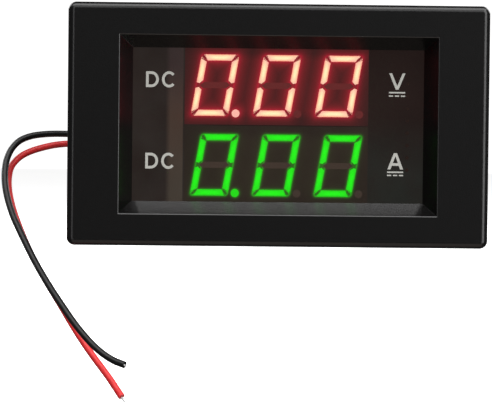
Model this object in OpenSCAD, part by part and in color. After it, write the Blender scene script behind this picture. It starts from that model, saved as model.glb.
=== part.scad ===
// Two-row digital panel meter in a snap-in case, with a rear screw terminal and two supply leads.
// Millimetres. +X to the right as the display is read, +Z up, the display faces -Y.
// The origin is the centre of the bezel's rear face, which seats on the panel.

/* [Bezel] */
// Width of the bezel
bezel_w = 85; // [84:0.5:90]
// Height of the bezel
bezel_h = 49; // [48:0.5:54]
// Thickness of the bezel in front of the panel
bezel_t = 5; // [4.5:0.1:6]
// Radius of the four upright corners
bezel_corner_r = 1.6; // [0.5:0.1:3]
// Rounding between the front face and the sides
bezel_edge_r = 1.35; // [0.4:0.05:2]

/* [Window] */
// Width of the recess at the front face
opening_w = 64.2; // [62:0.1:65]
// Height of the recess at the front face
opening_h = 36.1; // [34:0.1:37]
// Width of the visible window at the bottom of the recess
window_w = 59; // [57:0.1:60]
// Height of the visible window at the bottom of the recess
window_h = 31.1; // [29:0.1:32]
// Depth of the sloped recess
recess_d = 4; // [2:0.1:4.2]
// Thickness of the smoked lens
lens_t = 1.2; // [0.8:0.1:1.2]

/* [Case] */
// Width of the case behind the bezel
case_w = 76; // [76:0.5:78]
// Height of the case behind the bezel
case_h = 41; // [41:0.5:42]
// Wall thickness
wall = 1.8; // [1.6:0.1:2]
// How far the snap barbs stand out of the sides
barb = 1.6; // [0.6:0.1:2.4]

/* [Display] */
// Height of a digit
digit_h = 12.5; // [11:0.1:13]
// Width of a digit at one level
digit_w = 7.7; // [6.5:0.1:8]
// Distance between digits
digit_pitch = 12.6; // [12:0.1:12.6]
// Slant of the digits
slant = 10; // [0:0.5:12]
// Radius of a decimal point
dp_r = 0.8; // [0.5:0.05:0.9]

/* [Leads] */
// Diameter of the supply leads over their insulation
lead_d = 1.4; // [0.9:0.05:1.5]

/* [Hidden] */
$fn = 64;

case_d = 24;                       // rear rim of the case
cover_t = 2;                       // rear cover
lens_y = -bezel_t + recess_d;      // front of the lens
floor_y = lens_y + lens_t;         // inner face of the case's front wall
module_y = 1;                      // front of the display modules
module_w = 37.4;
module_h = 16;
module_x = -0.3;                   // the modules sit a little to the left
row_z = 8.1;                       // rows above and below the middle
board_y = 8.2;                     // front of the display board
board_t = 1.6;
power_y = 17.2;                    // front of the power board
back_y = power_y + board_t;        // rear of the power board
boss_x = 33.9;
boss_z = 16.4;
header_x = 27;
term_x = 13;                       // middle pole of the terminal block
term_pitch = 5.08;
term_z = -16.7;                    // screw axes
term_top = 30.2;
trim_z = -11;
trim_x = [-19, -8];
lead_y = 21.2;
lead_z = [-2.2, -4.2];
shunt_x = term_x + 1.5 * term_pitch - 2.54;

// Supply leads, from the plug to the stripped ends
BLACK_ROUTE = [[-35.2, 21.2, -2.2], [-38, 21.2, -2.2], [-41, 21.2, -2.2], [-44, 21.1, -2.2], [-46.53, 20.59, -2.2],
    [-49.01, 19.92, -2.36], [-51.39, 19.03, -2.78], [-53.62, 17.94, -3.76], [-55.2, 16.68, -5.51],
    [-56.07, 15.3, -7.72], [-56.3, 13.81, -10.11], [-56.14, 12.24, -12.48], [-55.64, 10.6, -14.83],
    [-54.89, 8.88, -17.11], [-53.96, 7.12, -19.34], [-52.83, 5.3, -21.48], [-51.65, 3.46, -23.58],
    [-50.46, 1.6, -25.65], [-49.23, -0.27, -27.68], [-47.96, -2.13, -29.65], [-46.63, -4, -31.56],
    [-45.27, -5.84, -33.44], [-43.86, -7.66, -35.27], [-42.44, -9.44, -37.08], [-41.02, -11.16, -38.87],
    [-39.52, -12.82, -40.61], [-37.93, -14.4, -42.27], [-36.23, -15.9, -43.85], [-34.38, -17.3, -45.23],
    [-32.33, -18.63, -46.35], [-30.12, -19.9, -47.08]];
RED_ROUTE = [[-35.2, 21.2, -4.2], [-38, 21.2, -4.2], [-41, 21.2, -4.2], [-44, 21.1, -4.3], [-46.55, 20.69, -4.6],
    [-49.03, 20.14, -5.18], [-51.41, 19.41, -5.97], [-53.59, 18.49, -7.18], [-55.24, 17.46, -9.15],
    [-55.72, 16.35, -11.65], [-55.52, 15.16, -14.14], [-54.93, 13.87, -16.55], [-54.11, 12.45, -18.89],
    [-53.15, 10.9, -21.16], [-52.11, 9.27, -23.37], [-51, 7.58, -25.53], [-49.82, 5.86, -27.64],
    [-48.54, 4.14, -29.69], [-47.2, 2.41, -31.7], [-45.84, 0.7, -33.67], [-44.46, -1, -35.62],
    [-43.11, -2.68, -37.57], [-41.78, -4.34, -39.53], [-40.43, -5.96, -41.47], [-39.03, -7.54, -43.37],
    [-37.59, -9.06, -45.22], [-36.12, -10.52, -47.02], [-34.64, -11.9, -48.77], [-33.23, -13.21, -50.49],
    [-31.96, -14.43, -52.17], [-30.77, -15.6, -53.8]];

// ---------- helpers ----------

// Everything drawn in the X-Z plane, made solid from y0 to y1
module slab(y0, y1) { translate([0, y1, 0]) rotate([90, 0, 0]) linear_extrude(y1 - y0) children(); }
module rod(x, z, r, y0, y1) { translate([x, y1, z]) rotate([90, 0, 0]) cylinder(r = r, h = y1 - y0); }
module block(x0, x1, y0, y1, z0, z1) { translate([x0, y0, z0]) cube([x1 - x0, y1 - y0, z1 - z0]); }
module rrect(w, h, r) {
    square([w - 2 * r, h], center = true);
    square([w, h - 2 * r], center = true);
    for (x = [-1, 1], z = [-1, 1]) translate([x * (w / 2 - r), z * (h / 2 - r)]) circle(r);
}
// A slab of length w in the plane of drawing, with its two front edges rounded
module rounded_front(w) {
    r = bezel_edge_r;
    translate([-w / 2, -bezel_t + r]) square([w, bezel_t - r]);
    translate([-w / 2 + r, -bezel_t]) square([w - 2 * r, bezel_t]);
    for (s = [-1, 1]) translate([s * (w / 2 - r), -bezel_t + r]) circle(r);
}
// One side's slopes of the recess: half width h0 at the face and h1 at the lens
module funnel(h0, h1) {
    k = (h0 - h1) / recess_d;
    polygon([[-h0 - k, -bezel_t - 1], [h0 + k, -bezel_t - 1], [h1 - 0.1 * k, lens_y + 0.1], [-h1 + 0.1 * k, lens_y + 0.1]]);
}
module corners() { for (x = [-1, 1], z = [-1, 1]) translate([x * boss_x, 0, z * boss_z]) children(); }

function unit(v) = v / norm(v);
function along(p, i) = i == 0 ? unit(p[1] - p[0]) : i == len(p) - 1 ? unit(p[i] - p[i - 1]) : unit(p[i + 1] - p[i - 1]);
function ring(c, t, r, n) = let (u = unit(cross([0, 1, 0], t)), v = cross(t, u))
    [for (k = [0 : n - 1]) c + r * (cos(360 * k / n) * u + sin(360 * k / n) * v)];
// A round tube along the points of a route
module tube(p, r, n = 8) {
    m = len(p);
    polyhedron(
        points = [for (i = [0 : m - 1]) each ring(p[i], along(p, i), r, n)],
        faces = concat(
            [[for (k = [0 : n - 1]) k]],
            [for (i = [0 : m - 2], k = [0 : n - 1]) [i * n + k, (i + 1) * n + k, (i + 1) * n + (k + 1) % n]],
            [for (i = [0 : m - 2], k = [0 : n - 1]) [i * n + k, (i + 1) * n + (k + 1) % n, i * n + (k + 1) % n]],
            [[for (k = [n - 1 : -1 : 0]) (m - 1) * n + k]]));
}
// A short rod that leaves the end of a route
module end_rod(p, r, h) {
    d = unit(p[len(p) - 1] - p[len(p) - 2]);
    translate(p[len(p) - 1]) rotate([0, acos(d[2]), atan2(d[1], d[0])]) cylinder(r = r, h = h, $fn = 24);
}

// ---------- digits ----------

function lean(p) = [for (q = p) [q[0] + q[1] * tan(slant), q[1]]];
function flip_x(p) = [for (i = [len(p) - 1 : -1 : 0]) [-p[i][0], p[i][1]]];
function flip_z(p) = [for (i = [len(p) - 1 : -1 : 0]) [p[i][0], -p[i][1]]];
hw = digit_w / 2;
hh = digit_h / 2;
SEG_A = [[-hw + 0.75, hh], [hw - 0.75, hh], [hw - 1.42, hh - 1.25], [-hw + 1.42, hh - 1.25]];
SEG_F = [[-hw + 0.12, hh - 0.92], [-hw + 1.3, hh - 1.55], [-hw + 1.3, 1], [-hw + 0.6, 0.38], [-hw, 0.6], [-hw, hh - 1.1]];
SEG_G = [[-hw + 0.8, 0], [-hw + 1.45, 0.62], [hw - 1.45, 0.62], [hw - 0.8, 0], [hw - 1.45, -0.62], [-hw + 1.45, -0.62]];
SEGMENTS = [SEG_A, flip_x(SEG_F), flip_x(flip_z(SEG_F)), flip_z(SEG_A), flip_z(SEG_F), SEG_F, SEG_G];
dp_x = 4.24;
dp_z = -5.7;

module segments(z0) {
    for (d = [-1 : 1]) translate([module_x + 0.05 + d * digit_pitch, 0, z0]) {
        for (s = SEGMENTS) slab(module_y, module_y + 1.2) polygon(lean(s));
        rod(dp_x, dp_z, dp_r, module_y, module_y + 1.2);
    }
}
module display_shell(z0) {
    difference() {
        block(module_x - module_w / 2, module_x + module_w / 2, module_y, board_y, z0 - module_h / 2, z0 + module_h / 2);
        segments(z0);
    }
}

// ---------- case ----------

module tongue_slots(s) {
    // the tongue is part of the wall, free at its front end
    x0 = s > 0 ? case_w / 2 - wall - 0.3 : -case_w / 2 - 0.1;
    x1 = s > 0 ? case_w / 2 + 0.1 : -case_w / 2 + wall + 0.3;
    block(x0, x1, 3.5, 4.3, -6, 6);
    block(x0, x1, 3.5, 16, 5.2, 6);
    block(x0, x1, 3.5, 16, -6, -5.2);
}
module tongue_barb() {
    translate([0, 0, -5.2]) linear_extrude(10.4)
        polygon([[case_w / 2 - 0.4, 4.3], [case_w / 2, 4.3], [case_w / 2 + barb, 5.6], [case_w / 2 + barb, 6.3], [case_w / 2, 13], [case_w / 2 - 0.4, 13]]);
}
module front_housing() {
    color([0.11, 0.11, 0.11]) union() {
        difference() {
            union() {
                intersection() {
                    slab(-bezel_t, 0) rrect(bezel_w, bezel_h, bezel_corner_r);
                    translate([0, 0, -bezel_h]) linear_extrude(2 * bezel_h) rounded_front(bezel_w);
                    rotate([90, 0, 90]) translate([0, 0, -bezel_w]) linear_extrude(2 * bezel_w)
                        rotate(-90) mirror([1, 0]) rounded_front(bezel_h);
                }
                difference() {
                    slab(0, case_d) rrect(case_w, case_h, 1.5);
                    for (s = [-1, 1]) tongue_slots(s);
                }
                tongue_barb();
                mirror([1, 0, 0]) tongue_barb();
            }
            // sloped recess, lens seat and inside of the case
            intersection() {
                translate([0, 0, -bezel_h]) linear_extrude(2 * bezel_h) funnel(opening_w / 2, window_w / 2);
                rotate([90, 0, 90]) translate([0, 0, -bezel_w]) linear_extrude(2 * bezel_w)
                    rotate(-90) mirror([1, 0]) funnel(opening_h / 2, window_h / 2);
            }
            block(-31.45, 31.45, lens_y, floor_y + 0.1, -17.45, 17.45);
            difference() {
                slab(floor_y, case_d + 1) rrect(case_w - 2 * wall, case_h - 2 * wall, 0.8);
                // screw bosses, with the shoulders that the display board rests on
                corners() rod(0, 0, 2.5, floor_y - 1, case_d + 2);
                corners() rod(0, 0, 3.6, floor_y - 1, board_y);
                // posts for the two board screws
                block(31.8, 36.6, floor_y - 1, board_y, -11.5, -7.5);
                block(-36.6, -31.8, floor_y - 1, board_y, 7.5, 11.5);
                // ledges for the power board
                for (x = [-20, 20], s = [-1, 1])
                    block(x - 1.2, x + 1.2, floor_y - 1, power_y, s * 18.1 - 1.1, s * 18.1 + 1.1);
            }
            corners() rod(0, 0, 1.1, 14, case_d + 1);
            rod(33.8, -9.5, 1, 3.6, board_y + 1);
            rod(-33.8, 9.5, 1, 3.6, board_y + 1);
            // exit of the supply leads, open to the rear and closed by the cover
            block(-case_w / 2 - 1, -case_w / 2 + wall + 1, lead_y - lead_d / 2 - 0.1, case_d + 1, lead_z[1] - 0.9, lead_z[0] + 0.9);
            // notch for the terminal block
            block(term_x - 8.05, term_x + 8.05, back_y - 0.1, case_d + 1, -case_h / 2 - 1, -case_h / 2 + wall + 1);
        }
    }
}
module window_lens() {
    color([0.12, 0.1, 0.09, 0.6]) block(-31.4, 31.4, lens_y, floor_y, -17.4, 17.4);
}
module rear_cover() {
    color([0.12, 0.12, 0.12]) difference() {
        union() {
            slab(case_d, case_d + cover_t) rrect(case_w, case_h, 1.5);
            // lips inside the rim
            block(-28, 28, case_d - 1.6, case_d, 17.3, 18.5);
            block(-28, 4, case_d - 1.6, case_d, -18.5, -17.3);
            block(34.9, 36.05, case_d - 1.6, case_d, -11, 11);
            block(-36.05, -34.9, case_d - 1.6, case_d, 1, 11);
            // posts that hold the power board on its ledges
            rod(-20, 15.4, 1.6, back_y, case_d);
            rod(20, 15.4, 1.6, back_y, case_d);
            rod(-26.5, -16, 1.6, back_y, case_d);
            // tab that closes the leads' exit
            block(-case_w / 2, -case_w / 2 + wall + 0.1, lead_y + lead_d / 2 + 0.1, case_d, lead_z[1] - 0.8, lead_z[0] + 0.8);
        }
        corners() rod(0, 0, 1.3, case_d - 1, case_d + 3);
        corners() rod(0, 0, 2.5, case_d + 1, case_d + 3);
        for (x = trim_x) rod(x, trim_z, 1.5, case_d - 1, case_d + 3);
        block(term_x - 8.05, term_x + 8.05, case_d - 3, case_d + 3, -case_h / 2 - 1, -12.35);
    }
}
module case_screws() {
    color([0.62, 0.62, 0.64]) corners() difference() {
        union() {
            rod(0, 0, 1.08, 15, case_d + 1.2);
            rod(0, 0, 2.2, case_d + 1, case_d + 2.4);
        }
        block(-1.7, 1.7, case_d + 1.8, case_d + 3, -0.3, 0.3);
        block(-0.3, 0.3, case_d + 1.8, case_d + 3, -1.7, 1.7);
    }
}

// ---------- displays ----------

module red_display_shell() { color([0.16, 0.13, 0.12]) display_shell(row_z); }
module green_display_shell() { color([0.16, 0.14, 0.12]) display_shell(-row_z); }
module red_segments() { color([1, 0.75, 0.6]) segments(row_z); }
module green_segments() { color([0.1, 0.95, 0.1]) segments(-row_z); }
module display_pins() {
    color([0.8, 0.8, 0.78])
        for (z0 = [-row_z, row_z], s = [-1, 1], i = [0 : 5])
            rod(module_x + (i - 2.5) * 2.54, z0 + s * 6.35, 0.25, board_y, board_y + board_t + 1.2);
}
module pin_holes(r, y0, y1) {
    for (i = [0 : 7]) rod(header_x, (i - 3.5) * 2.54, r, y0, y1);
}
module display_board() {
    color([0.1, 0.3, 0.16]) difference() {
        block(-35.8, 35.8, board_y, board_y + board_t, -16.9, 16.9);
        corners() rod(0, 0, 2.75, board_y - 1, board_y + 3);
        rod(33.8, -9.5, 1.1, board_y - 1, board_y + 3);
        rod(-33.8, 9.5, 1.1, board_y - 1, board_y + 3);
        for (z0 = [-row_z, row_z], s = [-1, 1], i = [0 : 5])
            rod(module_x + (i - 2.5) * 2.54, z0 + s * 6.35, 0.35, board_y - 1, board_y + 3);
        pin_holes(0.4, board_y - 1, board_y + 3);
    }
}
module board_screws() {
    color([0.7, 0.7, 0.68]) for (p = [[33.8, -9.5], [-33.8, 9.5]]) difference() {
        union() {
            rod(p[0], p[1], 0.98, 4, board_y + board_t + 0.1);
            rod(p[0], p[1], 1.7, board_y + board_t, board_y + board_t + 1.3);
        }
        block(p[0] - 1.2, p[0] + 1.2, board_y + board_t + 0.8, board_y + board_t + 2, p[1] - 0.25, p[1] + 0.25);
        block(p[0] - 0.25, p[0] + 0.25, board_y + board_t + 0.8, board_y + board_t + 2, p[1] - 1.2, p[1] + 1.2);
    }
}

// A flat chip with legs on two or four sides, standing off a board at y and reaching up to y + h
module chip(x, z, w, d, h, y, legs, pitch, sides = 2) {
    block(x - w / 2, x + w / 2, y + 0.15, y + h, z - d / 2, z + d / 2);
    for (s = [-1, 1], i = [0 : legs - 1]) {
        u = (i - (legs - 1) / 2) * pitch;
        block(x + u - pitch * 0.18, x + u + pitch * 0.18, y, y + h / 2, z + s * (d / 2 + 0.45) - 0.5, z + s * (d / 2 + 0.45) + 0.5);
        if (sides == 4)
            block(x + s * (w / 2 + 0.45) - 0.5, x + s * (w / 2 + 0.45) + 0.5, y, y + h / 2, z + u - pitch * 0.18, z + u + pitch * 0.18);
    }
}
module microcontroller() { color([0.1, 0.1, 0.1]) chip(module_x, row_z, 7, 7, 1.5, board_y + board_t, 8, 0.8, 4); }
module display_driver() { color([0.1, 0.1, 0.1]) chip(module_x, -row_z, 9.9, 3.9, 1.6, board_y + board_t, 8, 1.27); }
module clock_crystal() {
    color([0.72, 0.72, 0.7]) slab(board_y + board_t, board_y + board_t + 3.4) translate([-21, 0]) rrect(4.6, 11, 2.2);
}
module chip_resistors() {
    color([0.08, 0.08, 0.08]) for (i = [0 : 7])
        block(-31 + 3.2 * i, -29 + 3.2 * i, board_y + board_t, board_y + board_t + 0.5, -10.6, -9.4);
}
module chip_capacitors() {
    color([0.7, 0.58, 0.42]) for (x = [-8, 8], s = [-1, 1])
        block(x - 0.6, x + 0.6, board_y + board_t, board_y + board_t + 0.8, row_z + s * 2.4 - 1, row_z + s * 2.4 + 1);
}
module header_strip() {
    color([0.08, 0.08, 0.08]) difference() {
        block(header_x - 1.25, header_x + 1.25, board_y + board_t, power_y, -10.2, 10.2);
        pin_holes(0.34, 0, 30);
    }
}
module header_pins() { color([0.85, 0.7, 0.35]) pin_holes(0.32, board_y - 1.1, back_y + 1.2); }

// ---------- power board ----------

module power_board() {
    color([0.1, 0.3, 0.16]) difference() {
        block(-35.8, 35.8, power_y, back_y, -18.4, 18.4);
        corners() rod(0, 0, 2.95, power_y - 1, back_y + 1);
        pin_holes(0.4, power_y - 1, back_y + 1);
        for (i = [-1 : 1]) rod(term_x + i * term_pitch, -13.6, 0.6, power_y - 1, back_y + 1);
        for (s = [-1, 1]) rod(shunt_x + s * 2.54, -7, 0.85, power_y - 1, back_y + 1);
        for (x = trim_x, i = [-1 : 1]) rod(x + 2.54 * i, trim_z + 2.4 * (1 - 2 * abs(i)), 0.35, power_y - 1, back_y + 1);
        for (z = lead_z) rod(-27.5, z, 0.45, power_y - 1, back_y + 1);
        for (p = [[-6, 10], [4, 10]], s = [-1, 1]) rod(p[0] + s * 1.27, p[1], 0.35, power_y - 1, back_y + 1);
    }
}
module voltage_regulator() {
    color([0.1, 0.1, 0.1]) {
        block(-21.2, -14.8, back_y, back_y + 2.3, 2.2, 8.2);
        block(-20.6, -15.4, back_y, back_y + 0.6, 8.2, 9.6);
        for (x = [-20.3, -15.7]) block(x - 0.4, x + 0.4, back_y, back_y + 0.6, -0.6, 2.2);
    }
}
module amplifier_chip() { color([0.1, 0.1, 0.1]) chip(3, -2, 4.9, 3.9, 1.6, back_y, 4, 1.27); }
module input_diode() {
    color([0.1, 0.1, 0.1]) {
        block(-30.6, -28.2, back_y, back_y + 2.1, 6.4, 10.8);
        block(-30.1, -28.7, back_y, back_y + 0.4, 5.8, 11.4);
    }
}
module electrolytic_capacitors() {
    color([0.12, 0.14, 0.22]) for (p = [[-6, 10], [4, 10]]) {
        rod(p[0], p[1], 3.15, back_y, back_y + 4.8);
        for (s = [-1, 1]) rod(p[0] + s * 1.27, p[1], 0.3, power_y - 1, back_y + 0.1);
    }
}
module current_shunt() {
    color([0.72, 0.5, 0.36]) {
        for (s = [-1, 1]) rod(shunt_x + s * 2.54, -7, 0.8, 14, back_y + 0.9);
        translate([shunt_x, 14, -7]) rotate([0, 0, 180]) rotate_extrude(angle = 180) translate([2.54, 0]) circle(0.8, $fn = 32);
    }
}

// Single-turn trimmers, adjusted through the rear cover
module trimmer_body(x) {
    color([0.1, 0.22, 0.62]) difference() {
        block(x - 3.3, x + 3.3, back_y, back_y + 4.4, trim_z - 3.5, trim_z + 3.5);
        rod(x, trim_z, 1.95, back_y + 2.75, back_y + 5);
    }
}
module trimmer_rotor(x) {
    color([0.9, 0.9, 0.86]) difference() {
        rod(x, trim_z, 1.9, back_y + 2.8, back_y + 4.7);
        block(x - 1.5, x + 1.5, back_y + 4.1, back_y + 6, trim_z - 0.35, trim_z + 0.35);
    }
}
module volt_trimmer_body() { trimmer_body(trim_x[0]); }
module amp_trimmer_body() { trimmer_body(trim_x[1]); }
module volt_trimmer_rotor() { trimmer_rotor(trim_x[0]); }
module amp_trimmer_rotor() { trimmer_rotor(trim_x[1]); }
module trimmer_pins() {
    color([0.8, 0.8, 0.78]) for (x = trim_x, i = [-1 : 1])
        rod(x + 2.54 * i, trim_z + 2.4 * (1 - 2 * abs(i)), 0.25, power_y - 1.2, back_y);
}

// ---------- terminals ----------

module poles() { for (i = [-1 : 1]) translate([term_x + i * term_pitch, 0, 0]) children(); }
module terminal_block() {
    color([0.12, 0.42, 0.24]) difference() {
        block(term_x - 7.95, term_x + 7.95, back_y, term_top, -case_h / 2, -12.5);
        poles() {
            block(-1.85, 1.85, 20.9, 28.6, term_z - 2.5, term_z + 2.5);
            rod(0, term_z, 1.33, 28, term_top + 1);
            rod(0, term_z, 2, 29.1, term_top + 1);
            // wire entry from below
            translate([0, 23.2, -case_h / 2 - 1]) cylinder(r = 1.2, h = 3);
            // slot of the current bar's leg
            block(-1.2, 1.2, back_y - 1, 25.4, -14.3, -13.1);
        }
    }
}
module terminal_bars() {
    color([0.8, 0.8, 0.78]) poles() {
        block(-1.15, 1.15, 24.4, 25.2, -18.8, -13.2);
        block(-1.15, 1.15, back_y, 25.2, -14, -13.2);
        rod(0, -13.6, 0.5, power_y - 1.2, back_y + 0.1);
    }
}
module terminal_screw(i) {
    color([0.78, 0.78, 0.76]) translate([term_x + (i - 2) * term_pitch, 0, term_z]) difference() {
        union() {
            rod(0, 0, 1.25, 25.22, 29.2);
            rod(0, 0, 1.9, 29.13, 30.1);
        }
        block(-2, 2, 29.6, 31, -0.35, 0.35);
    }
}
module terminal_cage(i) {
    color([0.82, 0.82, 0.8]) translate([term_x + (i - 2) * term_pitch, 0, 0]) difference() {
        block(-1.75, 1.75, 21.2, 26.5, term_z - 2.2, term_z + 2.2);
        block(-1.25, 1.25, 22, 25.5, term_z - 3, term_z + 3);
        rod(0, term_z, 1.3, 25, 27);
    }
}
module terminal_screw_1() { terminal_screw(1); }
module terminal_screw_2() { terminal_screw(2); }
module terminal_screw_3() { terminal_screw(3); }
module terminal_cage_1() { terminal_cage(1); }
module terminal_cage_2() { terminal_cage(2); }
module terminal_cage_3() { terminal_cage(3); }

// ---------- supply connector and leads ----------

module supply_socket() {
    color([0.9, 0.88, 0.8]) difference() {
        block(-35.6, -27, back_y, 23.6, -6.15, -0.25);
        block(-36, -29.2, 19.6, 22.8, -5.55, -0.85);
        for (z = lead_z) {
            block(-30, -26, lead_y - 0.28, lead_y + 0.28, z - 0.28, z + 0.28);
            block(-27.78, -27.22, back_y - 1, lead_y + 0.28, z - 0.28, z + 0.28);
        }
    }
}
module supply_socket_pins() {
    color([0.8, 0.8, 0.78]) for (z = lead_z) {
        block(-33, -27.25, lead_y - 0.25, lead_y + 0.25, z - 0.25, z + 0.25);
        block(-27.75, -27.25, power_y - 1.2, lead_y + 0.25, z - 0.25, z + 0.25);
    }
}
module supply_plug() {
    color([0.92, 0.9, 0.82]) difference() {
        block(-35.2, -29.3, 19.7, 22.7, -5.45, -0.95);
        for (z = lead_z) block(-34.9, -29, lead_y - 0.55, lead_y + 0.55, z - 0.55, z + 0.55);
    }
}
module supply_plug_contacts() {
    color([0.85, 0.7, 0.35]) difference() {
        for (z = lead_z) block(-34.9, -29.6, lead_y - 0.5, lead_y + 0.5, z - 0.5, z + 0.5);
        for (z = lead_z) block(-33.2, -29, lead_y - 0.28, lead_y + 0.28, z - 0.28, z + 0.28);
    }
}
module black_lead() { color([0.1, 0.1, 0.1]) tube(BLACK_ROUTE, lead_d / 2); }
module red_lead() { color([0.8, 0.15, 0.16]) tube(RED_ROUTE, lead_d / 2); }
module black_lead_core() { color([0.8, 0.78, 0.74]) end_rod(BLACK_ROUTE, 0.28, 0.3); }
module red_lead_core() { color([0.8, 0.78, 0.74]) end_rod(RED_ROUTE, 0.24, 1.4); }

front_housing();
window_lens();
red_display_shell();
red_segments();
green_display_shell();
green_segments();
display_pins();
display_board();
microcontroller();
display_driver();
clock_crystal();
chip_resistors();
chip_capacitors();
board_screws();
header_strip();
header_pins();
power_board();
voltage_regulator();
amplifier_chip();
input_diode();
electrolytic_capacitors();
current_shunt();
volt_trimmer_body();
volt_trimmer_rotor();
amp_trimmer_body();
amp_trimmer_rotor();
trimmer_pins();
terminal_block();
terminal_bars();
terminal_screw_1();
terminal_screw_2();
terminal_screw_3();
terminal_cage_1();
terminal_cage_2();
terminal_cage_3();
supply_socket();
supply_socket_pins();
supply_plug();
supply_plug_contacts();
black_lead();
black_lead_core();
red_lead();
red_lead_core();
rear_cover();
case_screws();
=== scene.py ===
"""Looks of the digital panel meter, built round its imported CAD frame."""
import math
import random

import bmesh
import bpy
from mathutils import Matrix, Vector


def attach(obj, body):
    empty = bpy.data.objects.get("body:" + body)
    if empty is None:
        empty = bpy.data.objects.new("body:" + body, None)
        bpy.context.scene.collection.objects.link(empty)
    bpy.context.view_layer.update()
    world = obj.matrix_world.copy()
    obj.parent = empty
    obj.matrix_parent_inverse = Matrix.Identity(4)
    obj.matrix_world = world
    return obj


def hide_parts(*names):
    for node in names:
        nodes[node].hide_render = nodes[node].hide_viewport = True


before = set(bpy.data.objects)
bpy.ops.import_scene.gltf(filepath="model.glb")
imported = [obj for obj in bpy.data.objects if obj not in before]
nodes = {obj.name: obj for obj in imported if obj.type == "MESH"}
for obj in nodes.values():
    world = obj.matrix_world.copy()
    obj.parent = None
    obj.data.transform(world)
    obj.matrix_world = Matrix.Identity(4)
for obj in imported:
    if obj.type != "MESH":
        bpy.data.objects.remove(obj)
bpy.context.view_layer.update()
scene = bpy.context.scene
MM = 0.001


# ------------------------------------------------------------------ camera

cam_data = bpy.data.cameras.new("camera")
cam_data.sensor_width = 36.0
cam_data.lens = 2475.0 / 492.0 * 36.0
cam_data.clip_start, cam_data.clip_end = 0.01, 20.0
cam = bpy.data.objects.new("camera", cam_data)
scene.collection.objects.link(cam)
RIGHT = Vector((0.9997056, -0.0216821, 0.0108926))
DOWN = Vector((0.010238, -0.0300746, -0.9994952))
AHEAD = Vector((0.0219988, 0.9993125, -0.0298438))
AT = Vector((-17.3759, -502.7173, -0.7697)) * MM
cam.matrix_world = Matrix(
    (
        (RIGHT.x, -DOWN.x, -AHEAD.x, AT.x),
        (RIGHT.y, -DOWN.y, -AHEAD.y, AT.y),
        (RIGHT.z, -DOWN.z, -AHEAD.z, AT.z),
        (0, 0, 0, 1),
    )
)
scene.camera = cam
scene.view_settings.view_transform = "Standard"
scene.view_settings.look = "None"
scene.view_settings.exposure = 0.0
scene.view_settings.gamma = 1.0


# ------------------------------------------------------------------ material tools


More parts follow.
